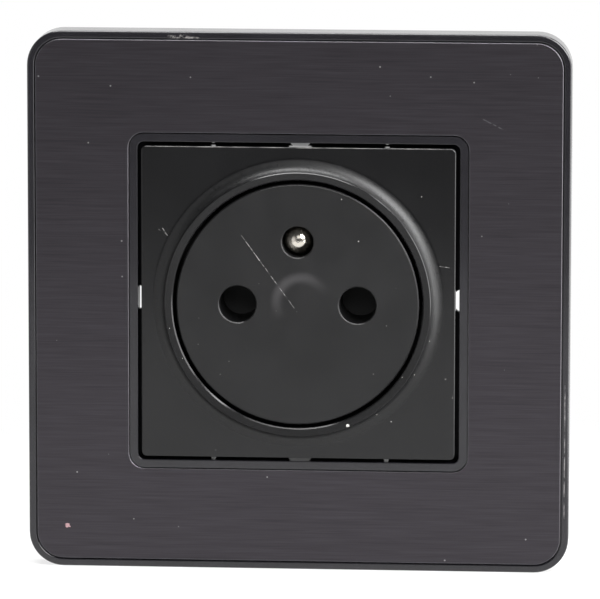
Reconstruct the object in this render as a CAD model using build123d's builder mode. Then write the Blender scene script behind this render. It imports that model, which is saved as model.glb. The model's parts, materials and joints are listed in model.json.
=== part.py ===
from build123d import *
import math
import os

# Flush wall socket: a square framed plate, a socket cover with a raised collar, and a sprung
# disc that sinks into the housing when a plug is pushed in, so that its earth pin comes out.
# All lengths are millimetres. The origin is the middle of the box screw pattern on the wall
# plane, +X points right, +Z points up and the room lies on the -Y side. A level is a distance
# out from the wall towards the room, so whatever lies inside the wall box has a level below 0.

# Frame
frame_size = 86.0
frame_corner_r = 5.5
frame_height = 5.0
frame_edge_r = 0.35
frame_side_wall = 1.6
rim_width = 1.15
rim_edge_r = 0.15
tray_thickness = 1.5
rib_thickness = 1.0
rib_spacing = 34.0

# Brushed panel, glued into the recess of the frame
panel_thickness = 1.0
panel_gap = 0.18
panel_proud = 0.08
panel_edge_r = 0.14

# Window of the frame, with the narrow lip between it and the panel
window_corner_r = 1.0
window_edge_r = 0.2
lip_width = 1.28
window_wall = 1.3

# Socket cover, which reaches past the collar by its margin and leaves a gap to the window
cover_margin = 1.65
cover_gap = 0.6
cover_proud = 0.45
cover_plate = 2.0
cover_corner_r = 0.8
cover_edge_r = 0.25
skirt_inset = 1.3
skirt_wall = 1.2

# Raised collar round the bore, and the tube behind it
bore_d = 39.6
bore_edge = 0.22
collar_crest_width = 1.3
collar_flank_width = 2.15
collar_height = 1.5
collar_crest_edge = 0.12
collar_dish = 0.05
well_wall = 1.6
well_depth = 10.7

# Sprung disc
disc_gap = 0.58
disc_recess = 0.1
disc_plate = 2.0
disc_edge = 0.2
disc_skirt_wall = 1.3
disc_travel = 15.0
flange_thickness = 1.2
flange_gap = 0.4
stop_gap = 0.2

# Pin holes
pin_pitch = 19.0
pin_hole_d = 5.9
guide_length = 8.5
guide_wall = 1.2
hole_edge = 0.16

# Earth pin, above the pin holes
earth_pin_d = 4.8
earth_offset = 10.0
earth_reach = 14.0
earth_clearance = 0.1
earth_collar_d = 7.0
earth_spigot_d = 3.6
earth_head_d = 5.4
earth_head_thickness = 0.6

# Shutter that closes the pin holes
shutter_overlap = 0.65
shutter_thickness = 2.0
shutter_travel = 6.6
shutter_play = 0.15
shutter_lug_width = 5.2
shutter_lug_height = 3.25
ramp_thin = 0.7
shutter_guide_width = 1.0
shutter_guide_height = 1.7

# Coil springs
return_coil_d = 4.4
return_wire_d = 0.55
return_turns = 8
shutter_coil_d = 3.1
shutter_wire_d = 0.35
shutter_turns = 8
shutter_seat_gap = 0.72
spring_seat_thickness = 1.0
spring_play = 0.1

# Mounting yoke
yoke_size = 74.0
yoke_corner_r = 5.0
yoke_thickness = 1.0
yoke_lip = 1.2
box_screw_spacing = 60.0
box_slot_length = 11.6
box_slot_width = 4.0
sight_hole_d = 0.8
sight_hole_x = 13.8
sight_hole_z = 25.25

# Snap latches: on the frame above and below, and on the cover at the left and right
latch_thickness = 1.2
latch_catch = 0.7
latch_tail = 2.0
latch_play = 0.25
frame_latch_width = 4.0
frame_latch_x = 20.0
frame_latch_gap = 2.5
cover_latch_width = 3.6
cover_latch_angle = 26.0

# Base housing and rear cover
housing_wall = 1.7
housing_depth = 30.0
housing_floor = 1.0
floor_gap = 0.3
tube_clearance = 0.3
lobe_wall = 1.2
pocket_clearance = 0.3
pocket_floor = 1.0
pocket_corner_r = 1.0
rear_cover_thickness = 2.0
rear_edge = 0.5

# Contacts and terminals
contact_sheet = 0.8
contact_width = 6.6
contact_bore_d = 4.7
contact_rear_gap = 1.15
contact_split = 1.3
terminal_side = 6.8
terminal_offset = 12.6
earth_terminal_offset = 6.4
terminal_seat = 0.2
wire_hole_d = 3.4
wire_entry_d = 4.4
wire_entry_edge = 0.6

# Screws
clamp_screw_d = 3.0
clamp_head_d = 4.6
clamp_head_height = 2.4
clamp_lift = 0.4
clamp_bite = 0.4
tapping_d = 2.3
tapping_head_d = 5.0
tapping_head_height = 1.4
tapping_length = 7.0
disc_screw_d = 1.9
disc_screw_head_d = 3.6
disc_screw_length = 5.0
disc_boss_wall = 1.2
disc_boss_gap = 0.2
yoke_screw_gap = 1.5
screw_clearance = 0.08
slot_width = 0.8
slot_depth = 0.7

# Levels of the front pieces
recess_depth = panel_thickness - panel_proud
tray_back = frame_height - recess_depth - tray_thickness
cover_face = frame_height + cover_proud
cover_back = cover_face - cover_plate
crest_level = cover_face + collar_height
disc_face = crest_level - disc_recess
tube_end = crest_level - well_depth
disc_rear = tube_end - stop_gap
guide_end = disc_face - guide_length
flange_back = disc_rear - flange_thickness

# Levels inside the wall box
floor_level = flange_back - disc_travel - floor_gap
floor_back = floor_level - housing_floor
contact_back = floor_back - contact_sheet
pin_tip_level = disc_face - disc_travel + earth_reach
terminal_back = -housing_depth + terminal_seat
jaw_end = -housing_depth + contact_rear_gap
terminal_axis = (contact_back + terminal_back) / 2
pocket_end = -housing_depth + pocket_floor

# Sizes across
panel_size = frame_size - 2 * (rim_width + panel_gap)
recess_size = frame_size - 2 * rim_width
recess_corner_r = frame_corner_r - rim_width
bore_r = bore_d / 2
crest_r = bore_r + collar_crest_width
flare_r = crest_r + collar_flank_width
cover_size = 2 * (flare_r + cover_margin)
window_size = cover_size + 2 * cover_gap
lip_size = window_size + 2 * lip_width
lip_corner_r = window_corner_r + lip_width
frame_latch_z = window_size / 2 + frame_latch_gap
tube_r = bore_r + well_wall
disc_r = bore_r - disc_gap
chamber_r = disc_r - disc_skirt_wall
pin_x = pin_pitch / 2
well_r = tube_r + tube_clearance
flange_r = well_r - flange_gap
housing_r = well_r + housing_wall
skirt_size = cover_size - 2 * skirt_inset
cover_latch_inner = skirt_size / 2 - latch_thickness
cover_latch_z = housing_r * math.sin(math.radians(cover_latch_angle))
lobe_circle_r = tube_r + yoke_screw_gap + tapping_head_d / 2
pocket_r = return_coil_d / 2 + pocket_clearance
lobe_r = pocket_r + lobe_wall
shutter_height = pin_hole_d + 2 * shutter_overlap
shutter_spring_room = chamber_r - shutter_seat_gap - spring_seat_thickness - shutter_height / 2
shutter_spring_length = shutter_spring_room - 2 * spring_play
guide_r = pin_hole_d / 2 + guide_wall
earth_hole_r = earth_pin_d / 2 + earth_clearance
earth_guide_r = earth_hole_r + guide_wall
disc_boss_r = disc_screw_d / 2 + disc_boss_wall
disc_screw_circle_r = chamber_r - disc_boss_gap - disc_boss_r
disc_screw_x = disc_screw_circle_r * math.cos(math.radians(45))
disc_screw_z = disc_screw_x
pole_pocket_width = terminal_side + 2 * terminal_seat
spring_angles = (135, 315)
screw_angles = (45, 225)


def front(level):
    """The plane at this level, facing the room, with its own X and Y along +X and +Z."""
    return Plane.XZ.offset(level)


def upright(along, at=(0, 0, 0)):
    """A plane square to the wall: its X runs along the given direction, its Y is the level."""
    across = Vector(along).cross(Vector(0, -1, 0))
    return Plane(origin=at, x_dir=along, z_dir=across)


def polar(radius, angle):
    """The point at this radius and angle on a plane that faces the room."""
    return radius * math.cos(math.radians(angle)), radius * math.sin(math.radians(angle))


def latch_outline(inner, root):
    """Outline of a latch leg that hooks outwards behind the yoke, from its root level."""
    outer = inner + latch_thickness
    hook = -spring_play
    Polygon(
        (inner, root),
        (inner, -latch_tail),
        (inner + latch_thickness / 2, -latch_tail),
        (outer + latch_catch, hook - latch_catch / 2),
        (outer + latch_catch, hook),
        (outer, hook),
        (outer, root),
        align=None,
    )


def save(piece, name):
    """Labels a finished piece and writes it to its own file."""
    piece.label = name
    export_step(piece, f"parts/{name}.step")


os.makedirs("parts", exist_ok=True)

# Frame tray: the moulded square frame, hollow behind, with a recess for the panel
with BuildPart() as frame_tray:
    with BuildSketch(front(0)):
        RectangleRounded(frame_size, frame_size, frame_corner_r)
    extrude(amount=frame_height)
    fillet(frame_tray.faces().sort_by(Axis.Y)[0].edges(), frame_edge_r)
    with BuildSketch(front(frame_height)):
        RectangleRounded(recess_size, recess_size, recess_corner_r)
        RectangleRounded(lip_size, lip_size, lip_corner_r, mode=Mode.SUBTRACT)
    extrude(amount=-recess_depth, mode=Mode.SUBTRACT)
    with BuildSketch(front(frame_height)):
        RectangleRounded(window_size, window_size, window_corner_r)
    extrude(amount=-frame_height, mode=Mode.SUBTRACT)
    lip_face, rim_face = frame_tray.faces().filter_by(Axis.Y).sort_by(Axis.Y)[0:2].sort_by(SortBy.AREA)
    fillet(lip_face.edges(), window_edge_r)
    fillet(rim_face.inner_wires().edges(), rim_edge_r)

    # Hollow behind the tray, which leaves the side wall and the wall round the window
    wall_size = window_size + 2 * window_wall
    hollow_size = frame_size - 2 * frame_side_wall
    with BuildSketch(front(0)):
        RectangleRounded(hollow_size, hollow_size, frame_corner_r - frame_side_wall)
        RectangleRounded(wall_size, wall_size, window_corner_r + window_wall, mode=Mode.SUBTRACT)
    extrude(amount=tray_back, mode=Mode.SUBTRACT)
    with BuildSketch(front(0)):
        Rectangle(wall_size, wall_size)
    extrude(amount=yoke_thickness + stop_gap, mode=Mode.SUBTRACT)

    # Ribs that bear on the yoke, two on each side, and stop short of its folded lip
    rib_end = yoke_size / 2 - yoke_thickness - latch_play
    rib_length = rib_end - wall_size / 2
    with BuildSketch(front(tray_back)):
        with PolarLocations(rib_end - rib_length / 2, 4):
            with GridLocations(0, rib_spacing, 1, 2):
                Rectangle(rib_length, rib_thickness)
    extrude(amount=yoke_thickness + stop_gap - tray_back)

    # Latches that snap behind the yoke above and below the window
    for up in (1, -1):
        for x in (frame_latch_x, -frame_latch_x):
            with BuildSketch(upright((0, 0, up), (x, 0, 0))):
                latch_outline(frame_latch_z, tray_back)
            extrude(amount=frame_latch_width / 2, both=True)
save(frame_tray.part, "frame_tray")

# Brushed panel: a flat square ring with rounded edges
with BuildPart() as brushed_panel:
    with BuildSketch(front(frame_height - recess_depth)):
        RectangleRounded(panel_size, panel_size, recess_corner_r - panel_gap)
        RectangleRounded(
            lip_size + 2 * panel_gap,
            lip_size + 2 * panel_gap,
            lip_corner_r + panel_gap,
            mode=Mode.SUBTRACT,
        )
    extrude(amount=panel_thickness)
    fillet(brushed_panel.faces().sort_by(Axis.Y)[0].edges(), panel_edge_r)
save(brushed_panel.part, "brushed_panel")

# Socket cover: a square plate with a flared collar and the tube that guides the disc
with BuildPart() as socket_cover:
    with BuildSketch(front(cover_back)):
        RectangleRounded(cover_size, cover_size, cover_corner_r)
    extrude(amount=cover_plate)
    fillet(socket_cover.faces().sort_by(Axis.Y)[0].edges(), cover_edge_r)

    # Skirt behind the plate, which seats on the yoke
    with BuildSketch(front(cover_back)):
        Rectangle(skirt_size, skirt_size)
        Rectangle(skirt_size - 2 * skirt_wall, skirt_size - 2 * skirt_wall, mode=Mode.SUBTRACT)
    extrude(amount=yoke_thickness + spring_play - cover_back)

    # Collar with a hollow flank, a crisp crest and a slightly dished top, and the tube
    with BuildSketch(upright((1, 0, 0))):
        with BuildLine():
            foot = (flare_r, cover_face)
            crest_side = (crest_r, crest_level - collar_crest_edge)
            crest_top = (crest_r - collar_crest_edge, crest_level)
            rim = (bore_r + bore_edge, crest_level - collar_dish)
            TangentArc(foot, crest_side, tangent=(-1, 0))
            Polyline(
                crest_side,
                crest_top,
                rim,
                (bore_r, crest_level - collar_dish - bore_edge),
                (bore_r, tube_end),
                (tube_r, tube_end),
                (tube_r, cover_back),
                (flare_r, cover_back),
                foot,
            )
        make_face()
    revolve(axis=Axis.Y)
    with BuildSketch(front(cover_back)):
        Circle(bore_r)
    extrude(amount=cover_plate, mode=Mode.SUBTRACT)

    # Latches at the left and right, which carry on from the skirt
    for side in (1, -1):
        for z in (cover_latch_z, -cover_latch_z):
            with BuildSketch(upright((side, 0, 0), (0, 0, z))):
                latch_outline(cover_latch_inner, cover_back)
            extrude(amount=cover_latch_width / 2, both=True)
save(socket_cover.part, "socket_cover")

# Mounting yoke: a pressed steel plate with a folded lip and four slots for the box screws
with BuildPart() as mounting_yoke:
    with BuildSketch(front(0)):
        RectangleRounded(yoke_size, yoke_size, yoke_corner_r)
    extrude(amount=yoke_thickness)
    lip_inner = yoke_size - 2 * yoke_thickness
    with BuildSketch(front(yoke_thickness)):
        RectangleRounded(yoke_size, yoke_size, yoke_corner_r)
        RectangleRounded(lip_inner, lip_inner, yoke_corner_r - yoke_thickness, mode=Mode.SUBTRACT)
        with PolarLocations(0, 2, start_angle=45):
            Rectangle(2 * yoke_size, yoke_corner_r, mode=Mode.SUBTRACT)
            Rectangle(yoke_corner_r, 2 * yoke_size, mode=Mode.SUBTRACT)
    extrude(amount=yoke_lip)
    with BuildSketch(front(0)):
        Circle(well_r)
        with PolarLocations(box_screw_spacing / 2, 4):
            SlotOverall(box_slot_length, box_slot_width)
        with Locations([polar(lobe_circle_r, angle) for angle in screw_angles]):
            Circle(tapping_d / 2 + 4 * screw_clearance)
        with GridLocations(2 * sight_hole_x, 2 * sight_hole_z, 2, 2):
            Circle(sight_hole_d / 2)
        frame_slot = latch_thickness + 2 * latch_play
        with GridLocations(2 * frame_latch_x, 2 * frame_latch_z + latch_thickness, 2, 2):
            Rectangle(frame_latch_width + 2 * latch_play, frame_slot)
        with GridLocations(skirt_size - latch_thickness, 2 * cover_latch_z, 2, 2):
            Rectangle(frame_slot, cover_latch_width + 2 * latch_play)
    extrude(amount=yoke_thickness, mode=Mode.SUBTRACT)
save(mounting_yoke.part, "mounting_yoke")

# Base housing: a round well with a lobe on each diagonal, and chambers for the contacts behind
pole_pocket_low = terminal_offset + terminal_side / 2 + terminal_seat
pole_pocket_high = contact_width / 2 + 2 * terminal_seat
earth_pocket_high = earth_offset + earth_terminal_offset + terminal_side / 2 + terminal_seat
earth_pocket_low = earth_offset - earth_head_d / 2 - terminal_seat


def housing_profile():
    """Outline shared by the base housing and the rear cover, drawn in the current sketch."""
    Circle(housing_r)
    with PolarLocations(lobe_circle_r, 4, start_angle=45):
        Circle(lobe_r)
    with PolarLocations(lobe_circle_r / 2, 4, start_angle=45):
        Rectangle(lobe_circle_r, 2 * lobe_r)


with BuildPart() as base_housing:
    with BuildSketch(front(0)):
        housing_profile()
    extrude(amount=-housing_depth)
    with BuildSketch(front(0)):
        Circle(well_r)
        for angle in spring_angles:
            with PolarLocations(lobe_circle_r / 2, 1, start_angle=angle):
                Rectangle(lobe_circle_r, 2 * pocket_r)
    extrude(amount=floor_level, mode=Mode.SUBTRACT)
    with BuildSketch(front(0)):
        with Locations([polar(lobe_circle_r, angle) for angle in spring_angles]):
            Circle(pocket_r)
    extrude(amount=pocket_end, mode=Mode.SUBTRACT)

    # Chambers behind the floor: one for each pole and one for the earth
    with BuildSketch(front(-housing_depth)):
        for x in (pin_x, -pin_x):
            with Locations((x, (pole_pocket_high - pole_pocket_low) / 2)):
                RectangleRounded(pole_pocket_width, pole_pocket_high + pole_pocket_low, pocket_corner_r)
        with Locations((0, (earth_pocket_high + earth_pocket_low) / 2)):
            RectangleRounded(pole_pocket_width, earth_pocket_high - earth_pocket_low, pocket_corner_r)
    extrude(amount=housing_depth + floor_back, mode=Mode.SUBTRACT)

    # Holes in the floor for the plug's pins and the earth pin's collar
    with BuildSketch(front(floor_level)):
        with Locations((pin_x, 0), (-pin_x, 0)):
            Circle(pin_hole_d / 2 + earth_clearance)
        with Locations((0, earth_offset)):
            Circle(earth_collar_d / 2 + earth_clearance)
    extrude(amount=-housing_floor, mode=Mode.SUBTRACT)

    # Screwdriver holes to the terminals: below for the poles and above for the earth
    driver_holes = (
        (pin_x, -1, pole_pocket_low),
        (-pin_x, -1, pole_pocket_low),
        (0, 1, earth_pocket_high),
    )
    for x, up, start in driver_holes:
        hole_plane = Plane(origin=(x, -terminal_axis, up * (start - pocket_corner_r)), z_dir=(0, 0, up))
        with BuildSketch(hole_plane):
            Circle(clamp_head_d / 2 + terminal_seat)
        extrude(amount=housing_r, mode=Mode.SUBTRACT)

    # Pilot holes for the screws that hold the yoke and the rear cover
    for level, depth in ((0, -tapping_length), (-housing_depth, tapping_length)):
        with BuildSketch(front(level)):
            with Locations([polar(lobe_circle_r, angle) for angle in screw_angles]):
                Circle(tapping_d / 2 + screw_clearance)
        extrude(amount=depth, mode=Mode.SUBTRACT)
save(base_housing.part, "base_housing")

# Rear cover: closes the chambers, with a funnelled hole for each wire
with BuildPart() as rear_cover:
    with BuildSketch(front(-housing_depth)):
        housing_profile()
    extrude(amount=-rear_cover_thickness)
    rear_face = rear_cover.faces().sort_by(Axis.Y)[-1]
    chamfer(rear_face.edges(), rear_edge)
    wire_points = [
        (pin_x, -terminal_offset),
        (-pin_x, -terminal_offset),
        (0, earth_offset + earth_terminal_offset),
    ]
    with BuildSketch(front(-housing_depth)):
        with Locations(wire_points):
            Circle(wire_entry_d / 2)
        with Locations([polar(lobe_circle_r, angle) for angle in screw_angles]):
            Circle(tapping_d / 2 + 4 * screw_clearance)
    extrude(amount=-rear_cover_thickness, mode=Mode.SUBTRACT)
    rear_circles = rear_cover.edges().group_by(Axis.Y)[-1].filter_by(GeomType.CIRCLE)
    wire_edges = [edge for edge in rear_circles if math.isclose(edge.radius, wire_entry_d / 2)]
    chamfer(wire_edges, wire_entry_edge)
save(rear_cover.part, "rear_cover")

# Sprung disc: a cup that slides in the collar, with guide tubes behind its three holes
with BuildPart() as sprung_disc:
    with BuildSketch(front(disc_rear)):
        Circle(disc_r)
    extrude(amount=disc_face - disc_rear)
    chamfer(sprung_disc.faces().sort_by(Axis.Y)[0].edges(), disc_edge)
    with BuildSketch(front(disc_rear)):
        Circle(chamber_r)
    extrude(amount=disc_face - disc_plate - disc_rear, mode=Mode.SUBTRACT)
    with BuildSketch(front(disc_face - disc_plate)):
        with Locations((pin_x, 0), (-pin_x, 0)):
            Circle(guide_r)
        with Locations((0, earth_offset)):
            Circle(earth_guide_r)
    extrude(amount=disc_plate - guide_length)

    # Bosses that run back to the disc base and take its screws
    with BuildSketch(front(disc_face - disc_plate)):
        with Locations((disc_screw_x, disc_screw_z), (-disc_screw_x, disc_screw_z)):
            Circle(disc_boss_r)
    extrude(amount=disc_rear - disc_face + disc_plate)
    with BuildSketch(front(disc_rear)):
        with Locations((disc_screw_x, disc_screw_z), (-disc_screw_x, disc_screw_z)):
            Circle(disc_screw_d / 2 + screw_clearance)
    extrude(amount=disc_screw_length, mode=Mode.SUBTRACT)

    with BuildSketch(front(disc_face)):
        with Locations((pin_x, 0), (-pin_x, 0)):
            Circle(pin_hole_d / 2)
        with Locations((0, earth_offset)):
            Circle(earth_hole_r)
    extrude(amount=-guide_length, mode=Mode.SUBTRACT)
    chamfer(sprung_disc.faces().sort_by(Axis.Y)[0].inner_wires().edges(), hole_edge)
save(sprung_disc.part, "sprung_disc")

# Disc base: closes the disc behind, stops it at the front and runs in the housing on two ears
spring_seat_z = -shutter_height / 2 - shutter_spring_length - 2 * spring_play
shutter_level = guide_end - shutter_play
with BuildPart() as disc_base:
    with BuildSketch(front(disc_rear)):
        Circle(flange_r)
        for angle in spring_angles:
            with PolarLocations(lobe_circle_r / 2, 1, start_angle=angle):
                Rectangle(lobe_circle_r, return_coil_d)
            with Locations(polar(lobe_circle_r, angle)):
                Circle(return_coil_d / 2)
        with Locations((pin_x, 0), (-pin_x, 0)):
            Circle(pin_hole_d / 2 + earth_clearance, mode=Mode.SUBTRACT)
        with Locations((0, earth_offset)):
            Circle(earth_hole_r + earth_clearance, mode=Mode.SUBTRACT)
    extrude(amount=-flange_thickness)

    # Rails beside the shutter and the seat of its spring
    rail_x = pin_x + shutter_height / 2 + shutter_play + shutter_guide_width / 2
    with BuildSketch(front(disc_rear)):
        with Locations((rail_x, -shutter_travel / 2), (-rail_x, -shutter_travel / 2)):
            Rectangle(shutter_guide_width, shutter_height + shutter_travel)
        Circle(chamber_r - disc_boss_gap, mode=Mode.INTERSECT)
    extrude(amount=shutter_guide_height)
    with BuildSketch(front(disc_rear)):
        with Locations((0, spring_seat_z - spring_seat_thickness / 2)):
            Rectangle(shutter_coil_d + spring_seat_thickness, spring_seat_thickness)
    extrude(amount=shutter_coil_d)
    for x in (disc_screw_x, -disc_screw_x):
        with Locations(Plane(origin=(x, -flange_back, disc_screw_z), x_dir=(1, 0, 0), z_dir=(0, 1, 0))):
            CounterSinkHole(
                disc_screw_d / 2 + screw_clearance, disc_screw_head_d / 2, counter_sink_angle=90
            )
save(disc_base.part, "disc_base")

# Shutter: two ramped blades over the pin holes, joined by a bar with a spring lug
lug_top = earth_offset - earth_guide_r - stop_gap
with BuildPart() as shutter:
    with BuildSketch(front(shutter_level)):
        SlotCenterToCenter(pin_pitch, shutter_height)
    extrude(amount=-shutter_thickness)
    for x in (pin_x, -pin_x):
        with BuildSketch(upright((0, 0, 1), (x, 0, 0))):
            Polygon(
                (-shutter_height / 2 + ramp_thin, shutter_level),
                (shutter_height, shutter_level),
                (shutter_height, shutter_level - shutter_thickness + ramp_thin),
                (shutter_height / 2, shutter_level - shutter_thickness + ramp_thin),
                align=None,
            )
        extrude(amount=pin_hole_d / 2, both=True, mode=Mode.SUBTRACT)
    with BuildSketch(front(shutter_level - shutter_thickness)):
        with Locations((0, (lug_top - shutter_height / 2) / 2)):
            Rectangle(shutter_lug_width, lug_top + shutter_height / 2)
    extrude(amount=shutter_lug_height)
save(shutter.part, "shutter")


def coil_spring(base, direction, coil_d, wire_d, length, turns, name):
    """A compression spring with ground ends that stands on its base point."""
    run = Vector(direction)
    start = Vector(base)
    coil_r = (coil_d - wire_d) / 2
    pitch = length / turns
    with BuildPart() as spring:
        with BuildLine() as path:
            Helix(pitch, length + wire_d, coil_r, center=start - run * (wire_d / 2), direction=run)
        with BuildSketch(Plane(origin=path.line @ 0, z_dir=path.line % 0)):
            RegularPolygon(wire_d / 2, 8)
        sweep(path=path.line, is_frenet=True)
        with BuildSketch(Plane(origin=start, z_dir=run)):
            Circle(coil_d)
        extrude(amount=length, mode=Mode.INTERSECT)
    save(spring.part, name)


# Return springs, in the lobes of the housing behind the ears of the disc base
return_length = flange_back - pocket_end - 2 * spring_play
for name, angle in zip(("return_spring_upper", "return_spring_lower"), spring_angles):
    spring_x, spring_z = polar(lobe_circle_r, angle)
    spring_foot = (spring_x, -pocket_end - spring_play, spring_z)
    coil_spring(spring_foot, (0, -1, 0), return_coil_d, return_wire_d, return_length, return_turns, name)

# Shutter spring, between the lug of the shutter and its seat on the disc base
shutter_spring_y = -(disc_rear + spring_play + shutter_coil_d / 2)
coil_spring(
    (0, shutter_spring_y, spring_seat_z + spring_play),
    (0, 0, 1),
    shutter_coil_d,
    shutter_wire_d,
    shutter_spring_length,
    shutter_turns,
    "shutter_spring",
)

# Earth pin: a turned pin with a domed tip, a collar in the floor and a riveted end
with BuildPart() as earth_pin:
    dome_r = earth_pin_d / 2
    rivet_level = contact_back - earth_head_thickness
    with BuildSketch(upright((1, 0, 0), (0, 0, earth_offset))):
        with BuildLine():
            tip = (0, pin_tip_level)
            shoulder = (dome_r, pin_tip_level - dome_r)
            RadiusArc(tip, shoulder, dome_r)
            Polyline(
                shoulder,
                (dome_r, floor_level),
                (earth_collar_d / 2, floor_level),
                (earth_collar_d / 2, floor_back),
                (earth_spigot_d / 2, floor_back),
                (earth_spigot_d / 2, contact_back),
                (earth_head_d / 2, contact_back),
                (earth_spigot_d / 2, rivet_level),
                (0, rivet_level),
                tip,
            )
        make_face()
    revolve(axis=Axis((0, 0, earth_offset), (0, 1, 0)))
save(earth_pin.part, "earth_pin")


def strip_outline(x, low, high):
    """Outline of a contact's flat strip, drawn in the current sketch."""
    with Locations((x, (low + high) / 2)):
        RectangleRounded(contact_width, high - low, contact_sheet)


# Earth bar: joins the root of the earth pin to its terminal
with BuildPart() as earth_bar:
    with BuildSketch(front(floor_back)):
        bar_top = earth_offset + earth_terminal_offset + contact_width / 2
        strip_outline(0, earth_pocket_low + terminal_seat, bar_top)
        with Locations((0, earth_offset)):
            Circle(earth_spigot_d / 2 + screw_clearance, mode=Mode.SUBTRACT)
    extrude(amount=-contact_sheet)
save(earth_bar.part, "earth_bar")

# Pole contacts: a strip with a hole for the pin and two sprung jaws folded back from it
for name, x in (("live_contact", pin_x), ("neutral_contact", -pin_x)):
    with BuildPart() as contact:
        with BuildSketch(front(floor_back)):
            strip_outline(x, -terminal_offset - contact_width / 2, contact_width / 2)
            with Locations((x, 0)):
                Circle(contact_bore_d / 2, mode=Mode.SUBTRACT)
        extrude(amount=-contact_sheet)
        with BuildSketch(front(contact_back)):
            with Locations((x, 0)):
                Circle(contact_bore_d / 2 + contact_sheet)
                Circle(contact_bore_d / 2, mode=Mode.SUBTRACT)
                Rectangle(contact_split, contact_width, mode=Mode.SUBTRACT)
        extrude(amount=jaw_end - contact_back)
    save(contact.part, name)

# Terminals: a clamp block with a hole for the wire and a slotted screw across it
terminals = (
    ("live", pin_x, -terminal_offset, -1),
    ("neutral", -pin_x, -terminal_offset, -1),
    ("earth", 0, earth_offset + earth_terminal_offset, 1),
)
for name, x, z, up in terminals:
    screw_plane = Plane(origin=(x, -terminal_axis, z + up * terminal_side / 2), z_dir=(0, 0, up))
    with BuildPart() as terminal:
        with BuildSketch(front(contact_back)):
            with Locations((x, z)):
                RectangleRounded(terminal_side, terminal_side, contact_sheet)
        extrude(amount=terminal_back - contact_back)
        with BuildSketch(front(terminal_back)):
            with Locations((x, z)):
                Circle(wire_hole_d / 2)
        extrude(amount=contact_back - terminal_back - contact_sheet, mode=Mode.SUBTRACT)
        with BuildSketch(screw_plane):
            Circle(clamp_screw_d / 2 + screw_clearance)
        extrude(amount=-terminal_side / 2, mode=Mode.SUBTRACT)
    save(terminal.part, f"{name}_terminal")

    screw_reach = terminal_side / 2 - wire_hole_d / 2 + clamp_bite
    with BuildPart() as clamp_screw:
        with BuildSketch(screw_plane.offset(-screw_reach)):
            Circle(clamp_screw_d / 2)
        extrude(amount=screw_reach + clamp_lift)
        with BuildSketch(screw_plane.offset(clamp_lift)):
            Circle(clamp_head_d / 2)
        extrude(amount=clamp_head_height)
        with BuildSketch(screw_plane.offset(clamp_lift + clamp_head_height)):
            Rectangle(clamp_head_d, slot_width)
        extrude(amount=-slot_depth, mode=Mode.SUBTRACT)
    save(clamp_screw.part, f"{name}_terminal_screw")


def tapping_screws(name, level, out, seat):
    """A pair of tapping screws, one in each screw lobe, driven in from this seat level."""
    with BuildPart() as screws:
        for angle in screw_angles:
            x, z = polar(lobe_circle_r, angle)
            head_plane = Plane(origin=(x, -seat, z), x_dir=(1, 0, 0), z_dir=(0, -out, 0))
            with BuildSketch(head_plane):
                Circle(tapping_head_d / 2)
            extrude(amount=tapping_head_height)
            with BuildSketch(head_plane):
                Circle(tapping_d / 2)
            extrude(amount=-(out * (seat - level) + tapping_length - slot_depth))
            with BuildSketch(head_plane.offset(tapping_head_height)):
                Rectangle(tapping_head_d * 0.6, slot_width)
                Rectangle(slot_width, tapping_head_d * 0.6)
            extrude(amount=-slot_depth, mode=Mode.SUBTRACT)
    save(screws.part, name)


tapping_screws("yoke_screws", 0, 1, yoke_thickness)
tapping_screws("rear_cover_screws", -housing_depth, -1, -housing_depth - rear_cover_thickness)

# Screws that hold the disc base to the sprung disc, flush in their countersinks
with BuildPart() as disc_screws:
    for x in (disc_screw_x, -disc_screw_x):
        screw_end = disc_rear + disc_screw_length - slot_depth
        head_r = disc_screw_head_d / 2 - screw_clearance
        shank_r = disc_screw_d / 2
        with BuildSketch(upright((1, 0, 0), (x, 0, disc_screw_z))):
            Polygon(
                (0, flange_back),
                (head_r, flange_back),
                (shank_r, flange_back + head_r - shank_r),
                (shank_r, screw_end),
                (0, screw_end),
                align=None,
            )
        revolve(axis=Axis((x, 0, disc_screw_z), (0, 1, 0)))
save(disc_screws.part, "disc_screws")
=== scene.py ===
import json
import math
from functools import partial

import bpy
from mathutils import Matrix, Vector

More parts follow.
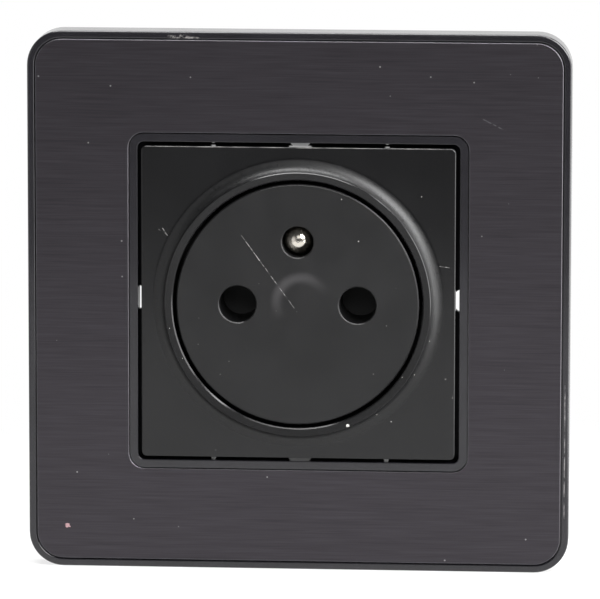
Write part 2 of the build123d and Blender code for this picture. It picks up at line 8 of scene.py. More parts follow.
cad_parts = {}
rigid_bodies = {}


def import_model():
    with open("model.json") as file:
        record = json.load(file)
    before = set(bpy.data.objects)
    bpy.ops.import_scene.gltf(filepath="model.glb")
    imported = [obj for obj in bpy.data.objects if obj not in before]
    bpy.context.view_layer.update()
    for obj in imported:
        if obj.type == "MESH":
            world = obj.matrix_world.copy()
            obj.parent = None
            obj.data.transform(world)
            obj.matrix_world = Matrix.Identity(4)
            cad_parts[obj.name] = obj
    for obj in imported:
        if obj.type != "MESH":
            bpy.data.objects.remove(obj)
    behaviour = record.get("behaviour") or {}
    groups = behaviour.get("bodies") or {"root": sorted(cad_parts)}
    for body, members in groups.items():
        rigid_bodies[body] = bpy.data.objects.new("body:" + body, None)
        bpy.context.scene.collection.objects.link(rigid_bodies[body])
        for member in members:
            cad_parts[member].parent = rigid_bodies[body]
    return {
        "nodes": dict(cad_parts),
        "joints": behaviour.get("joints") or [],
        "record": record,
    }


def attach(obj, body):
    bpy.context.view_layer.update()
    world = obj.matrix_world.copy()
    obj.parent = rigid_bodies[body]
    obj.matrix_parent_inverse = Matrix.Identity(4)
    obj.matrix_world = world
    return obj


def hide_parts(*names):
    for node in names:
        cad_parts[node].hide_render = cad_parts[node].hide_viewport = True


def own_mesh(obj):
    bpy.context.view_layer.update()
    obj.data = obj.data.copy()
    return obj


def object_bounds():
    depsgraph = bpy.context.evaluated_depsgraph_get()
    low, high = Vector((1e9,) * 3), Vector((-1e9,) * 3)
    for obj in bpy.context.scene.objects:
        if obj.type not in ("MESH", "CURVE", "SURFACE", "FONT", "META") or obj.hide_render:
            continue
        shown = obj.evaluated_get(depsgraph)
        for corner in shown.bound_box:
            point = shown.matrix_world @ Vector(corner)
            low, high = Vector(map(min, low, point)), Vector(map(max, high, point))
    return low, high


# Flush wall socket, dressed for its photograph: finishes, springs, floor, light and camera.
# Lengths are metres unless a name ends in _mm. Angles are degrees. The socket looks along -Y.

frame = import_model()
nodes = frame["nodes"]
cad_low, cad_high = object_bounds()

mm = 0.001
mm_per_metre = 1000

# Camera, as the photograph was taken
image_width_px = 600
sensor_mm = 36.0
focal_px = 5978.0
camera_azimuth = 4.01
camera_elevation = 9.22
camera_roll = 0.08
camera_distance = 0.951
camera_target = Vector((-0.00008, 0, -0.00025))
nearest_seen = 0.01

# What the lamps look at
socket_middle = Vector((0, 0, 0))

# How bright each side of the room is, where 1 is white
low_level = 0.4
left_level = 0.7
upper_level = 0.04
back_level = 1.0

# Small white table that the frame stands on. Its shade fades out between two distances.
floor_front = 0.30
floor_back = 0.16
floor_side = 0.12
shade_from_mm = 50
shade_to_mm = 100
shade_depth_squeeze = 0.7
least_white = 0.75

# A noise's values lie mostly between these, round the middle
noise_low = 0.3
noise_middle = 0.5
noise_high = 0.7

# How far a face may turn from the room, as the cosine of the angle
marks_fade_out = 0.3
marks_full = 0.6
# Where the panel's painted edge highlight is whole, and where it is gone
highlight_whole_below = 0.8
highlight_gone_above = 0.97

# Only the place across the front counts for a mark, not the depth
across_front = (1, 0, 1)
outwards = (0, -1, 0)

# Settled dust
speck_core = 0.02
speck_rim = 0.05
plastic_speck_spacing_mm = 2.3
plastic_speck_strength = 0.8
panel_speck_spacing_mm = 3.6
panel_speck_share = 0.8
panel_speck_strength = 0.7


def linear(code):
    """A colour written as an sRGB hex code, as the linear RGBA that a shader takes."""
    channels = [int(code[i:i + 2], 16) / 255 for i in (1, 3, 5)]
    return [c / 12.92 if c <= 0.04045 else ((c + 0.055) / 1.055) ** 2.4 for c in channels] + [1]


def add(tree, kind, links=None, **settings):
    """Adds a node to a tree with its settings, and gives its inputs what feeds them.

    An input takes a plain value, another node's output socket, or a node, which stands for its
    first output."""
    node = tree.nodes.new(kind)
    for name, value in settings.items():
        setattr(node, name, value)
    for name, value in (links or {}).items():
        if isinstance(value, bpy.types.Node):
            value = value.outputs[0]
        if isinstance(value, bpy.types.NodeSocket):
            tree.links.new(value, node.inputs[name])
        else:
            node.inputs[name].default_value = value
    return node


def new_material(name):
    """A material with an empty tree, and the place on the object in millimetres."""
    material = bpy.data.materials.new(name)
    material.use_nodes = True
    tree = material.node_tree
    tree.nodes.clear()
    place = add(tree, "ShaderNodeTexCoord").outputs["Object"]
    place_mm = add(
        tree, "ShaderNodeVectorMath", {0: place, "Scale": mm_per_metre}, operation="SCALE"
    )
    return material, tree, place_mm


def dress(slot, material):
    """Gives a finish to every node of one of the record's material slots."""
    for part in frame["record"]["subparts"]:
        if part["material_slot"] == slot:
            for held in nodes[part["node"]].material_slots:
                held.material = material


def blotches(tree, place_mm, size_mm, low, high):
    """Soft uneven patches of about this size, from low to high."""
    cloud = add(tree, "ShaderNodeTexNoise", {"Vector": place_mm, "Scale": 1 / size_mm, "Detail": 3})
    return add(
        tree,
        "ShaderNodeMapRange",
        {
            "Value": cloud,
            "From Min": noise_low,
            "From Max": noise_high,
            "To Min": low,
            "To Max": high,
        },
    )


def line_scratch_or_highlight(tree, place_mm, start, end, width_mm, ragged_mm):
    """A fine line on a face that looks at the room, from one (x, z) point to another: a scratch or a
    rub, and on the cover's upper edge a painted highlight. It comes and goes in steps of about
    ragged_mm: past 0 and 1 it is cut off, so it has gaps and whole stretches."""
    gap_level = -0.5
    whole_level = 1.4
    first = Vector((start[0], 0, start[1]))
    run = Vector((end[0] - start[0], 0, end[1] - start[1]))
    flat = add(tree, "ShaderNodeVectorMath", {0: place_mm, 1: across_front}, operation="MULTIPLY")
    offset = add(tree, "ShaderNodeVectorMath", {0: flat, 1: first}, operation="SUBTRACT")
    along = add(tree, "ShaderNodeVectorMath", {0: offset, 1: run}, operation="DOT_PRODUCT")
    share = add(
        tree,
        "ShaderNodeMath",
        {0: along.outputs["Value"], 1: run.length_squared},
        operation="DIVIDE",
        use_clamp=True,
    )
    nearest = add(tree, "ShaderNodeVectorMath", {0: run, "Scale": share}, operation="SCALE")
    away = add(tree, "ShaderNodeVectorMath", {0: offset, 1: nearest}, operation="DISTANCE")
    line = add(
        tree,
        "ShaderNodeMapRange",
        {
            "Value": away.outputs["Value"],
            "From Min": 0,
            "From Max": width_mm,
            "To Min": 1,
            "To Max": 0,
        },
        interpolation_type="SMOOTHSTEP",
    )
    broken = blotches(tree, place_mm, ragged_mm, gap_level, whole_level)
    return add(tree, "ShaderNodeMath", {0: line, 1: broken}, operation="MULTIPLY", use_clamp=True)


def arc_mark(tree, place_mm, centre, radius_mm, width_mm, middle):
    """A soft rubbed arc round an (x, z) point. It is strongest in the direction of its middle, and
    gone a little past a quarter turn from there."""
    end_cosine = -0.3
    centre = (centre[0], 0, centre[1])
    middle = (middle[0], 0, middle[1])
    flat = add(tree, "ShaderNodeVectorMath", {0: place_mm, 1: across_front}, operation="MULTIPLY")
    offset = add(tree, "ShaderNodeVectorMath", {0: flat, 1: centre}, operation="SUBTRACT")
    away = add(tree, "ShaderNodeVectorMath", {0: offset}, operation="LENGTH")
    past = add(
        tree, "ShaderNodeMath", {0: away.outputs["Value"], 1: radius_mm}, operation="SUBTRACT"
    )
    off_ring = add(tree, "ShaderNodeMath", {0: past}, operation="ABSOLUTE")
    ring = add(
        tree,
        "ShaderNodeMapRange",
        {"Value": off_ring, "From Min": 0, "From Max": width_mm / 2, "To Min": 1, "To Max": 0},
        interpolation_type="SMOOTHSTEP",
    )
    turned = add(tree, "ShaderNodeVectorMath", {0: offset, 1: middle}, operation="DOT_PRODUCT")
    faded = add(
        tree,
        "ShaderNodeMapRange",
        {
            "Value": turned.outputs["Value"],
            "From Min": end_cosine * radius_mm,
            "From Max": radius_mm,
        },
        interpolation_type="SMOOTHSTEP",
    )
    return add(tree, "ShaderNodeMath", {0: ring, 1: faded}, operation="MULTIPLY")


def round_mark(tree, place_mm, centre, radius_mm, ragged_mm):
    """A small patch with a ragged edge round an (x, z) point."""
    solid_share = 0.7
    reach = (2 * ragged_mm,) * 3
    centre = (centre[0], 0, centre[1])
    cloud = add(
        tree, "ShaderNodeTexNoise", {"Vector": place_mm, "Scale": 1 / ragged_mm, "Detail": 4}
    )
    jitter = add(
        tree,
        "ShaderNodeVectorMath",
        {0: cloud.outputs["Color"], 1: (noise_middle,) * 3},
        operation="SUBTRACT",
    )
    moved = add(
        tree, "ShaderNodeVectorMath", {0: jitter, 1: reach, 2: place_mm}, operation="MULTIPLY_ADD"
    )
    flat = add(tree, "ShaderNodeVectorMath", {0: moved, 1: across_front}, operation="MULTIPLY")
    away = add(tree, "ShaderNodeVectorMath", {0: flat, 1: centre}, operation="DISTANCE")
    return add(
        tree,
        "ShaderNodeMapRange",
        {
            "Value": away.outputs["Value"],
            "From Min": solid_share * radius_mm,
            "From Max": radius_mm,
            "To Min": 1,
            "To Max": 0,
        },
        interpolation_type="SMOOTHSTEP",
    )


def dust(tree, place_mm, spacing_mm, share):
    """Scattered specks: one small dot in this share of cells that are spacing_mm wide."""
    cells = add(tree, "ShaderNodeTexVoronoi", {"Vector": place_mm, "Scale": 1 / spacing_mm})
    dot = add(
        tree,
        "ShaderNodeMapRange",
        {
            "Value": cells.outputs["Distance"],
            "From Min": speck_core,
            "From Max": speck_rim,
            "To Min": 1,
            "To Max": 0,
        },
    )
    chosen = add(tree, "ShaderNodeSeparateColor", {"Color": cells.outputs["Color"]})
    kept = add(tree, "ShaderNodeMath", {0: chosen.outputs["Red"], 1: share}, operation="LESS_THAN")
    return add(tree, "ShaderNodeMath", {0: dot, 1: kept}, operation="MULTIPLY")


def painted_over(tree, ground, mask, colour, strength):
    """The ground colour with a second colour laid over it where the mask is set."""
    amount = add(
        tree, "ShaderNodeMath", {0: mask, 1: strength}, operation="MULTIPLY", use_clamp=True
    )
    mixed = add(
        tree, "ShaderNodeMix", {"Factor": amount, 6: ground, 7: linear(colour)}, data_type="RGBA"
    )
    return mixed.outputs[2]


def facing_room(tree, least, most):
    """How squarely a face looks out of the wall: 0 where the cosine of its turn is at or under the
    least, and 1 from the most on."""
    normal = add(tree, "ShaderNodeNewGeometry").outputs["Normal"]
    cosine = add(tree, "ShaderNodeVectorMath", {0: normal, 1: outwards}, operation="DOT_PRODUCT")
    return add(
        tree,
        "ShaderNodeMapRange",
        {"Value": cosine.outputs["Value"], "From Min": least, "From Max": most},
    )


def flank_lines(tree, place_mm):
    """Fine radial lines on the collar's flank, left by the turned and hand-polished mould, and the
    share of them that shows at each place: all on the flank, and none elsewhere. Real ones are
    about 0.03 mm wide, and are drawn four times as wide, or they would not show."""
    line_mm = 0.12
    stretch_mm = 1.0
    crest_mm = 21.15
    foot_mm = 23.2
    crest_fade_mm = 0.1
    foot_fade_mm = 0.5
    axes = add(tree, "ShaderNodeSeparateXYZ", {0: place_mm})
    angle = add(
        tree, "ShaderNodeMath", {0: axes.outputs["Z"], 1: axes.outputs["X"]}, operation="ARCTAN2"
    )
    around = add(tree, "ShaderNodeMath", {0: angle, 1: foot_mm / line_mm}, operation="MULTIPLY")
    flat = add(tree, "ShaderNodeVectorMath", {0: place_mm, 1: across_front}, operation="MULTIPLY")
    radius = add(tree, "ShaderNodeVectorMath", {0: flat}, operation="LENGTH").outputs["Value"]
    drawn = add(tree, "ShaderNodeMath", {0: radius, 1: 1 / stretch_mm}, operation="MULTIPLY")
    wound = add(tree, "ShaderNodeCombineXYZ", {0: around, 1: drawn})
    lines = add(tree, "ShaderNodeTexNoise", {"Vector": wound, "Scale": 1, "Detail": 2})
    past_crest = add(
        tree,
        "ShaderNodeMapRange",
        {"Value": radius, "From Min": crest_mm - crest_fade_mm, "From Max": crest_mm},
    )
    before_foot = add(
        tree,
        "ShaderNodeMapRange",
        {"Value": radius, "From Min": foot_mm, "From Max": foot_mm - foot_fade_mm},
    )
    share = add(tree, "ShaderNodeMath", {0: past_crest, 1: before_foot}, operation="MULTIPLY")
    return lines, share


def moulded_plastic(
    name,
    dark,
    light,
    roughness,
    grain_mm,
    grain_depth_mm,
    marks=(),
    specks=0.0,
    polish=0.0,
    lined=None,
):
    """Injection moulded thermoplastic: an even colour with a faint flow pattern, and the fine
    skin of the mould, which breaks reflections up a little. The real skin is a few hundredths of a
    millimetre wide, and is drawn coarser, or it would not show. Marks are pale rubbed lines and
    patches, and on the cover also a painted highlight line; a share of specks is settled dust. A
    lined stretch is duller, with fine lines."""
    flow_mm = 9.0
    gloss_patch_mm = 5.0
    smoother = 0.9
    rougher = 1.12
    lined_smooth = 0.26
    lined_rough = 0.54
    line_depth_mm = 0.004
    material, tree, place_mm = new_material(name)
    flow = blotches(tree, place_mm, flow_mm, 0, 1)
    ground = add(
        tree, "ShaderNodeMix", {"Factor": flow, 6: linear(dark), 7: linear(light)}, data_type="RGBA"
    ).outputs[2]
    in_front = facing_room(tree, marks_fade_out, marks_full)
    for make_mask, colour, strength in marks:
        mask = make_mask(tree, place_mm)
        mark = add(tree, "ShaderNodeMath", {0: mask, 1: in_front}, operation="MULTIPLY")
        ground = painted_over(tree, ground, mark, colour, strength)
    if specks:
        settled = dust(tree, place_mm, plastic_speck_spacing_mm, specks)
        ground = painted_over(tree, ground, settled, "#b9b7b4", plastic_speck_strength)
    grain = add(
        tree, "ShaderNodeTexNoise", {"Vector": place_mm, "Scale": 1 / grain_mm, "Detail": 2}
    )
    skin = add(
        tree, "ShaderNodeBump", {"Height": grain, "Distance": grain_depth_mm * mm, "Strength": 1.0}
    )
    gloss = blotches(tree, place_mm, gloss_patch_mm, roughness * smoother, roughness * rougher)
    if lined:
        lines, share = lined(tree, place_mm)
        dull = add(
            tree,
            "ShaderNodeMapRange",
            {
                "Value": lines,
                "From Min": noise_low,
                "From Max": noise_high,
                "To Min": lined_smooth,
                "To Max": lined_rough,
            },
        )
        gloss = add(tree, "ShaderNodeMix", {"Factor": share, 2: gloss, 3: dull})
        depth = add(tree, "ShaderNodeMath", {0: lines, 1: share}, operation="MULTIPLY")
        skin = add(
            tree,
            "ShaderNodeBump",
            {"Height": depth, "Distance": line_depth_mm * mm, "Normal": skin},
        )
    shader = add(
        tree,
        "ShaderNodeBsdfPrincipled",
        {
            "Base Color": ground,
            "Roughness": gloss,
            "IOR": 1.5,
            "Normal": skin,
            "Coat Weight": polish,
            "Coat Roughness": 0.08,
        },
    )
    add(tree, "ShaderNodeOutputMaterial", {"Surface": shader})
    return material


def brushed_anodised_aluminium():
    """Aluminium sheet brushed along X and then anodised black: the brush lines carry through the
    dyed skin, so its sheen is drawn out across the lines and its tone varies from line to line.
    On the rounded edges a light grey line is painted into the colour, a painted highlight.
    The lines are 0.03 mm on a real sheet and are drawn at 0.15 mm, or they would not show."""
    line_mm = 0.15
    line_length_mm = 60 * line_mm
    streak_mm = 0.4
    streak_length_mm = 50 * streak_mm
    streak_weight = 0.5
    tone_reach = 0.25
    line_depth_mm = 0.003
    smoothest = 0.3
    roughest = 0.35
    material, tree, place_mm = new_material("brushed_anodised_aluminium")
    fine = add(
        tree,
        "ShaderNodeVectorMath",
        {0: place_mm, 1: (1 / line_length_mm, 1 / line_mm, 1 / line_mm)},
        operation="MULTIPLY",
    )
    broad = add(
        tree,
        "ShaderNodeVectorMath",
        {0: place_mm, 1: (1 / streak_length_mm, 1 / streak_mm, 1 / streak_mm)},
        operation="MULTIPLY",
    )
    lines = add(
        tree, "ShaderNodeTexNoise", {"Vector": fine, "Scale": 1, "Detail": 2, "Roughness": 0.6}
    )
    streaks = add(tree, "ShaderNodeTexNoise", {"Vector": broad, "Scale": 1, "Detail": 3})
    both = add(
        tree, "ShaderNodeMath", {0: streaks, 1: streak_weight, 2: lines}, operation="MULTIPLY_ADD"
    )
    middle = noise_middle * (1 + streak_weight)
    tone = add(
        tree,
        "ShaderNodeMapRange",
        {"Value": both, "From Min": middle - tone_reach, "From Max": middle + tone_reach},
    )
    ground = add(
        tree,
        "ShaderNodeMix",
        {"Factor": tone, 6: linear("#353236"), 7: linear("#423f44")},
        data_type="RGBA",
    ).outputs[2]
    chip = round_mark(tree, place_mm, centre=(-36.8, -36.4), radius_mm=0.42, ragged_mm=0.5)
    ground = painted_over(tree, ground, chip, "#c9a3a6", strength=0.9)
    scratch = line_scratch_or_highlight(
        tree, place_mm, start=(29.1, 29.6), end=(32.5, 27.9), width_mm=0.16, ragged_mm=0.7
    )
    ground = painted_over(tree, ground, scratch, "#8e8c90", strength=0.35)
    settled = dust(tree, place_mm, panel_speck_spacing_mm, panel_speck_share)
    ground = painted_over(tree, ground, settled, "#aaa8a8", panel_speck_strength)
    # Painted highlight: faces that turn away from the room, the rounded edges, are painted a light
    # grey line.
    flat = facing_room(tree, highlight_whole_below, highlight_gone_above)
    edge = add(tree, "ShaderNodeMath", {0: 1, 1: flat}, operation="SUBTRACT")
    ground = painted_over(tree, ground, edge, "#8f8d93", strength=0.55)
    relief = add(
        tree, "ShaderNodeBump", {"Height": lines, "Distance": line_depth_mm * mm, "Strength": 0.5}
    )
    gloss = add(
        tree,
        "ShaderNodeMapRange",
        {
            "Value": lines,
            "From Min": noise_low,
            "From Max": noise_high,
            "To Min": smoothest,
            "To Max": roughest,
        },
    )
    shader = add(
        tree,
        "ShaderNodeBsdfPrincipled",
        {
            "Base Color": ground,
            "Metallic": 0.75,
            "Roughness": gloss,
            "Anisotropic": 0.5,
            "Normal": relief,
        },
    )
    add(tree, "ShaderNodeOutputMaterial", {"Surface": shader})
    return material


def bare_metal(name, dark, light, roughness, mark_mm, depth_mm, lean=(1, 1, 1)):
    """Metal with the fine marks of its making. Lean draws the marks out along an axis: a small
    figure there makes them long, as on rolled sheet. Real marks are a few hundredths of a
    millimetre wide, and are drawn as coarse as they need to show."""
    smoother = 0.8
    rougher = 1.2
    material, tree, place_mm = new_material(name)
    drawn = add(tree, "ShaderNodeVectorMath", {0: place_mm, 1: lean}, operation="MULTIPLY")
    marks = add(tree, "ShaderNodeTexNoise", {"Vector": drawn, "Scale": 1 / mark_mm, "Detail": 3})
    ground = add(
        tree, "ShaderNodeMix", {"Factor": marks, 6: linear(dark), 7: linear(light)}, data_type="RGBA"
    ).outputs[2]
    relief = add(
        tree, "ShaderNodeBump", {"Height": marks, "Distance": depth_mm * mm, "Strength": 0.5}
    )
    gloss = add(
        tree,
        "ShaderNodeMapRange",
        {
            "Value": marks,
            "From Min": noise_low,
            "From Max": noise_high,
            "To Min": roughness * smoother,
            "To Max": roughness * rougher,
        },
    )
    shader = add(
        tree,
        "ShaderNodeBsdfPrincipled",
        {"Base Color": ground, "Metallic": 1.0, "Roughness": gloss, "Normal": relief},
    )
    add(tree, "ShaderNodeOutputMaterial", {"Surface": shader})
    return material


def disc_marks():
    """The plug's traces on the disc: a long scratch, which is stronger at its start, and a faint
    rubbed arc below the earth hole."""
    scratch = partial(
        line_scratch_or_highlight, start=(-8.9, 11.0), end=(-0.1, -1.1), width_mm=0.09, ragged_mm=0.5
    )
    scratch_start = partial(
        line_scratch_or_highlight, start=(-8.9, 11.0), end=(-6.0, 7.0), width_mm=0.08, ragged_mm=0.4
    )
    rubbed_arc = partial(
        arc_mark, centre=(0.6, 0.4), radius_mm=3.9, width_mm=2.6, middle=(-0.5, 0.85)
    )
    return (
        (scratch, "#969494", 0.75),
        (scratch_start, "#a4a2a2", 0.6),
        (rubbed_arc, "#5c5a5c", 0.24),
    )


def cover_marks_and_highlight():
    """Short nicks on the cover at the left and right of the collar, a chip in its right edge, a
    grain of dust at the collar's foot, and along its upper edge a painted highlight, a pale line in
    stretches."""
    left_nick = partial(
        line_scratch_or_highlight, start=(-21.5, 11.8), end=(-20.7, 10.6), width_mm=0.07, ragged_mm=0.5
    )
    second_left_nick = partial(
        line_scratch_or_highlight, start=(-22.1, 11.6), end=(-20.9, 10.9), width_mm=0.07, ragged_mm=0.5
    )
    right_nick = partial(
        line_scratch_or_highlight, start=(22.3, 6.2), end=(24.0, 6.0), width_mm=0.06, ragged_mm=0.3
    )
    edge_chip = partial(
        line_scratch_or_highlight, start=(24.5, -14.6), end=(24.5, -14.9), width_mm=0.12, ragged_mm=0.4
    )
    grain = partial(round_mark, centre=(8.0, -19.3), radius_mm=0.3, ragged_mm=0.3)
    # Painted highlight: a pale line along the cover's upper edge, broken in stretches.
    painted_upper_edge_highlight = partial(
        line_scratch_or_highlight, start=(-24.2, 24.88), end=(24.2, 24.88), width_mm=0.16, ragged_mm=5.0
    )
    return (
        (left_nick, "#b4b2b0", 0.9),
        (second_left_nick, "#9c9a98", 0.8),
        (right_nick, "#9c9a98", 0.7),
        (edge_chip, "#bdbbb6", 0.9),
        (grain, "#c9c7c2", 0.9),
        (painted_upper_edge_highlight, "#a8a6a4", 0.6),
    )


def frame_marks():
    """A scuff on the frame's rim, above at the left, and rubs along its right side."""
    scuff_start = partial(
        line_scratch_or_highlight, start=(-20.4, 42.2), end=(-19.0, 42.0), width_mm=0.4, ragged_mm=0.3
    )
    scuff = partial(
        line_scratch_or_highlight, start=(-18.6, 42.3), end=(-15.9, 41.9), width_mm=0.4, ragged_mm=0.4
    )
    right_rubs = partial(
        line_scratch_or_highlight, start=(42.3, -12.7), end=(42.3, -34.5), width_mm=0.14, ragged_mm=1.1
    )
    return (
        (scuff_start, "#918e8c", 0.6),
        (scuff, "#918e8c", 0.7),
        (right_rubs, "#8e8b8b", 0.5),
    )


def dress_pieces():
    """Makes each finish and gives it to its pieces."""
    # A near-black shell from a polished mould, with a thin clear gloss over a smooth body. Its
    # rounded edges catch the light as fine lines.
    frame_plastic = moulded_plastic(
        "moulded_semi_gloss_polycarbonate",
        dark="#131216",
        light="#19181c",
        roughness=0.2,
        grain_mm=0.35,
        grain_depth_mm=0.001,
        marks=frame_marks(),
        specks=0.1,
        polish=0.4,
    )
    # The blackest and glossiest piece: it mirrors the room, so it is dark above and pale below,
    # and fine lines spread the light on the flank of its collar.
    cover_plastic = moulded_plastic(
        "polished_black_polycarbonate",
        dark="#0b0b0c",
        light="#0f0f10",
        roughness=0.17,
        grain_mm=0.9,
        grain_depth_mm=0.0003,
        marks=cover_marks_and_highlight(),
        specks=0.5,
        lined=flank_lines,
    )
    # A finely blasted mould leaves an even satin black, on which the plug's traces stand out.
    disc_plastic = moulded_plastic(
        "satin_black_polycarbonate",
        dark="#0f0f10",
        light="#151516",
        roughness=0.36,
        grain_mm=0.12,
        grain_depth_mm=0.004,
        marks=disc_marks(),
        specks=0.8,
    )
    # A tough plastic for sliding pieces, dull black from an eroded mould.
    inner_plastic = moulded_plastic(
        "moulded_black_polyamide",
        dark="#121213",
        light="#1a1a1b",
        roughness=0.5,
        grain_mm=0.25,
        grain_depth_mm=0.006,
    )
    # Glass-filled, so its skin is rougher and a little greyer than the pieces in front.
    housing_plastic = moulded_plastic(
        "moulded_grey_polyamide",
        dark="#202123",
        light="#2a2b2d",
        roughness=0.5,
        grain_mm=0.3,
        grain_depth_mm=0.01,
    )
    # Rolled sheet under a black passivated plating: dark, with a soft metallic gleam.
    yoke_finish = bare_metal(
        "black_zinc_plated_steel",
        dark="#1a1a1c",
        light="#29292b",
        roughness=0.42,
        mark_mm=0.8,
        depth_mm=0.01,
        lean=(0.2, 1, 1),
    )
    # A warm silver that mirrors the room, softened by the turning marks under the plating.
    nickel = bare_metal(
        "nickel_plated_turned_brass",
        dark="#e6e0d4",
        light="#f6f0e6",
        roughness=0.2,
        mark_mm=0.25,
        depth_mm=0.001,
    )
    # Yellow metal with the long marks of the rolls.
    brass = bare_metal(
        "stamped_brass_sheet",
        dark="#c79d52",
        light="#d9b56a",
        roughness=0.3,
        mark_mm=0.5,
        depth_mm=0.004,
        lean=(0.3, 1, 0.3),
    )
    # A plain grey gleam along each coil, uneven from the drawing die.
    spring_finish = bare_metal(
        "drawn_spring_wire",
        dark="#8f9194",
        light="#b4b6b8",
        roughness=0.3,
        mark_mm=0.15,
        depth_mm=0.002,
    )
    # Pale bluish plating that looks faintly cloudy.
    zinc = bare_metal(
        "zinc_plated_screw_steel",
        dark="#a9adb0",
        light="#c9ccce",
        roughness=0.32,
        mark_mm=0.3,
        depth_mm=0.004,
    )
    dress("frame_plastic", frame_plastic)
    dress("panel_aluminium", brushed_anodised_aluminium())
    dress("cover_plastic", cover_plastic)
    dress("disc_plastic", disc_plastic)
    dress("inner_plastic", inner_plastic)
    dress("housing_plastic", housing_plastic)
    dress("yoke_steel", yoke_finish)
    dress("plated_brass", nickel)
    dress("contact_brass", brass)
    dress("spring_steel", spring_finish)
    dress("screw_steel", zinc)


def wind_springs():
    """Each spring as a piece of its own. It keeps the solid's form, rides on the body that its far
    end is seated in, and that end stays where it is."""
    for joint in frame["joints"]:
        for held in joint["deforming_nodes"]:
            name = held["node"]
            spring = bpy.data.objects.new(name + "_wound", nodes[name].data.copy())
            bpy.context.scene.collection.objects.link(spring)
            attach(spring, joint["parent"])
            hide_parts(name)
            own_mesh(spring)


def plain_paper_floor():
    """White studio paper. In reflections it is white. To the camera it is close to white, and
    round the socket it keeps a part of the shadow that falls on it."""
    fibre_mm = 2.0
    fibre_dark = 0.93
    fibre_light = 0.95
    material, tree, place_mm = new_material("white_studio_paper")
    fibre = blotches(tree, place_mm, fibre_mm, fibre_dark, fibre_light)
    paper = add(tree, "ShaderNodeBsdfDiffuse", {"Color": fibre})
    white = add(tree, "ShaderNodeEmission", {"Color": linear("#ffffff"), "Strength": 1.0})
    rays = add(tree, "ShaderNodeLightPath")
    mirrored = add(
        tree,
        "ShaderNodeMath",
        {0: rays.outputs["Is Glossy Ray"], 1: rays.outputs["Is Transmission Ray"]},
        operation="MAXIMUM",
    )
    around = add(
        tree,
        "ShaderNodeVectorMath",
        {0: place_mm, 1: (1, shade_depth_squeeze, 0)},
        operation="MULTIPLY",
    )
    away = add(tree, "ShaderNodeVectorMath", {0: around}, operation="LENGTH")
    white_share = add(
        tree,
        "ShaderNodeMapRange",
        {
            "Value": away.outputs["Value"],
            "From Min": shade_from_mm,
            "From Max": shade_to_mm,
            "To Min": least_white,
            "To Max": 1.0,
        },
        interpolation_type="SMOOTHSTEP",
    )
    seen = add(
        tree,
        "ShaderNodeMath",
        {0: rays.outputs["Is Camera Ray"], 1: white_share},
        operation="MULTIPLY",
    )
    share = add(tree, "ShaderNodeMath", {0: seen, 1: mirrored}, operation="MAXIMUM")
    both = add(tree, "ShaderNodeMixShader", {0: share, 1: paper, 2: white})
    add(tree, "ShaderNodeOutputMaterial", {"Surface": both})
    return material


def lay_floor():
    """The white table, level with the frame's lower edge."""
    mesh = bpy.data.meshes.new("floor")
    level = cad_low.z
    corners = [
        (-floor_side, -floor_front, level),
        (floor_side, -floor_front, level),
        (floor_side, floor_back, level),
        (-floor_side, floor_back, level),
    ]
    mesh.from_pydata(corners, [], [(0, 1, 2, 3)])
    floor = bpy.data.objects.new("floor", mesh)
    bpy.context.scene.collection.objects.link(floor)
    floor.data.materials.append(plain_paper_floor())


def softbox(name, place, width, height, watts):
    """A soft rectangular lamp that looks at the middle of the socket."""
    lamp = bpy.data.lights.new(name, "AREA")
    lamp.shape = "RECTANGLE"
    lamp.size = width
    lamp.size_y = height
    lamp.energy = watts
    holder = bpy.data.objects.new(name, lamp)
    bpy.context.scene.collection.objects.link(holder)
    holder.visible_camera = False
    holder.location = place
    holder.rotation_mode = "QUATERNION"
    holder.rotation_quaternion = (socket_middle - Vector(place)).to_track_quat("-Z", "Y")


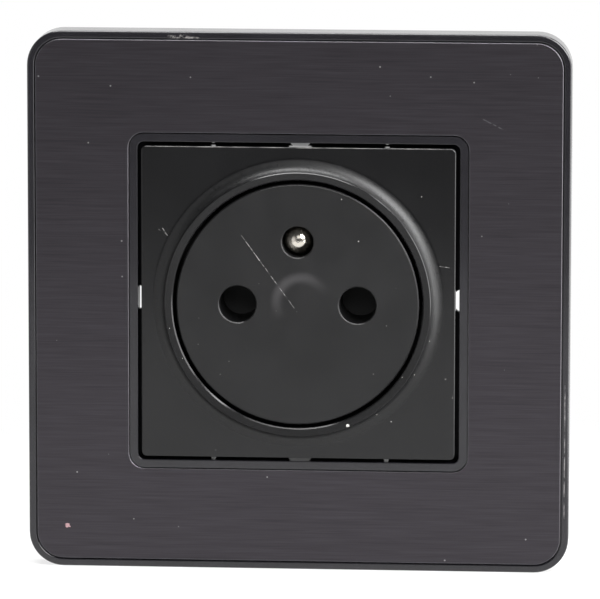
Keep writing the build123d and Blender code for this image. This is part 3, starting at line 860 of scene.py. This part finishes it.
def light_room():
    """A white surround behind the socket, and in front of it a room that is pale below and at
    the left and dark above, which the flat faces and the edges mirror. Then the lamps.

    The limits say where each side of the room starts and ends, as a share of the direction that a
    reflection takes: up, to the right, or back."""
    pale_below = -0.225
    dark_above = -0.06
    left_whole = -0.6
    left_gone = -0.2
    ceiling_starts = 0.1
    ceiling_whole = 0.6
    front_ends = -0.15
    back_whole = 0.2
    world = bpy.data.worlds.new("studio")
    bpy.context.scene.world = world
    world.use_nodes = True
    tree = world.node_tree
    tree.nodes.clear()
    direction = add(tree, "ShaderNodeTexCoord").outputs["Generated"]
    parts = add(tree, "ShaderNodeSeparateXYZ", {0: direction})
    upwards = add(
        tree,
        "ShaderNodeMapRange",
        {
            "Value": parts.outputs["Z"],
            "From Min": pale_below,
            "From Max": dark_above,
            "To Min": low_level,
            "To Max": upper_level,
        },
        interpolation_type="SMOOTHSTEP",
    )
    leftwards = add(
        tree,
        "ShaderNodeMapRange",
        {
            "Value": parts.outputs["X"],
            "From Min": left_whole,
            "From Max": left_gone,
            "To Min": left_level,
            "To Max": 0,
        },
        interpolation_type="SMOOTHSTEP",
    )
    under_ceiling = add(
        tree,
        "ShaderNodeMapRange",
        {
            "Value": parts.outputs["Z"],
            "From Min": ceiling_starts,
            "From Max": ceiling_whole,
            "To Min": 1,
            "To Max": 0,
        },
        interpolation_type="SMOOTHSTEP",
    )
    left_wall = add(tree, "ShaderNodeMath", {0: leftwards, 1: under_ceiling}, operation="MULTIPLY")
    front_room = add(tree, "ShaderNodeMath", {0: upwards, 1: left_wall}, operation="MAXIMUM")
    behind = add(
        tree,
        "ShaderNodeMapRange",
        {"Value": parts.outputs["Y"], "From Min": front_ends, "From Max": back_whole},
        interpolation_type="SMOOTHSTEP",
    )
    level = add(tree, "ShaderNodeMix", {"Factor": behind, 2: front_room, 3: back_level})
    room = add(tree, "ShaderNodeBackground", {"Color": linear("#ffffff"), "Strength": level})
    white = add(tree, "ShaderNodeBackground", {"Color": linear("#ffffff"), "Strength": 1.0})
    rays = add(tree, "ShaderNodeLightPath")
    both = add(tree, "ShaderNodeMixShader", {0: rays.outputs["Is Camera Ray"], 1: room, 2: white})
    add(tree, "ShaderNodeOutputWorld", {"Surface": both})
    # The main light, from the upper right in front
    softbox("key", place=(0.52, -0.46, 0.46), width=0.6, height=0.6, watts=13.0)
    # Almost level with the wall, so it only grazes the right edges
    softbox("edge", place=(0.65, -0.03, 0.1), width=0.5, height=0.5, watts=4.0)
    # Lifts the right side of the collar and the rim
    softbox("low", place=(0.62, -0.4, -0.12), width=0.4, height=0.3, watts=1.4)
    # Draws the upper edge lines
    softbox("top", place=(0, 0, 0.8), width=0.7, height=0.3, watts=9.0)
    # Shows as the spot on the tip of the earth pin
    softbox("fill", place=(0.1, -1.1, 0.5), width=0.7, height=0.45, watts=1.0)


def place_camera():
    """The camera, at the angle and distance from which the photograph was taken."""
    azimuth = math.radians(camera_azimuth)
    elevation = math.radians(camera_elevation)
    level_share = math.cos(elevation)
    back = Vector(
        (
            math.sin(azimuth) * level_share,
            -math.cos(azimuth) * level_share,
            math.sin(elevation),
        )
    )
    right = Vector((0, 0, 1)).cross(back).normalized()
    up = back.cross(right)
    turn = Matrix((right, up, back)).transposed().to_4x4()
    roll = Matrix.Rotation(math.radians(camera_roll), 4, "Z")
    camera = bpy.data.objects.new("camera", bpy.data.cameras.new("camera"))
    bpy.context.scene.collection.objects.link(camera)
    camera.matrix_world = Matrix.Translation(camera_target + camera_distance * back) @ turn @ roll
    camera.data.sensor_width = sensor_mm
    camera.data.lens = focal_px * sensor_mm / image_width_px
    camera.data.clip_start = nearest_seen
    bpy.context.scene.camera = camera


dress_pieces()
wind_springs()
lay_floor()
light_room()
place_camera()
bpy.context.scene.view_settings.view_transform = "Standard"
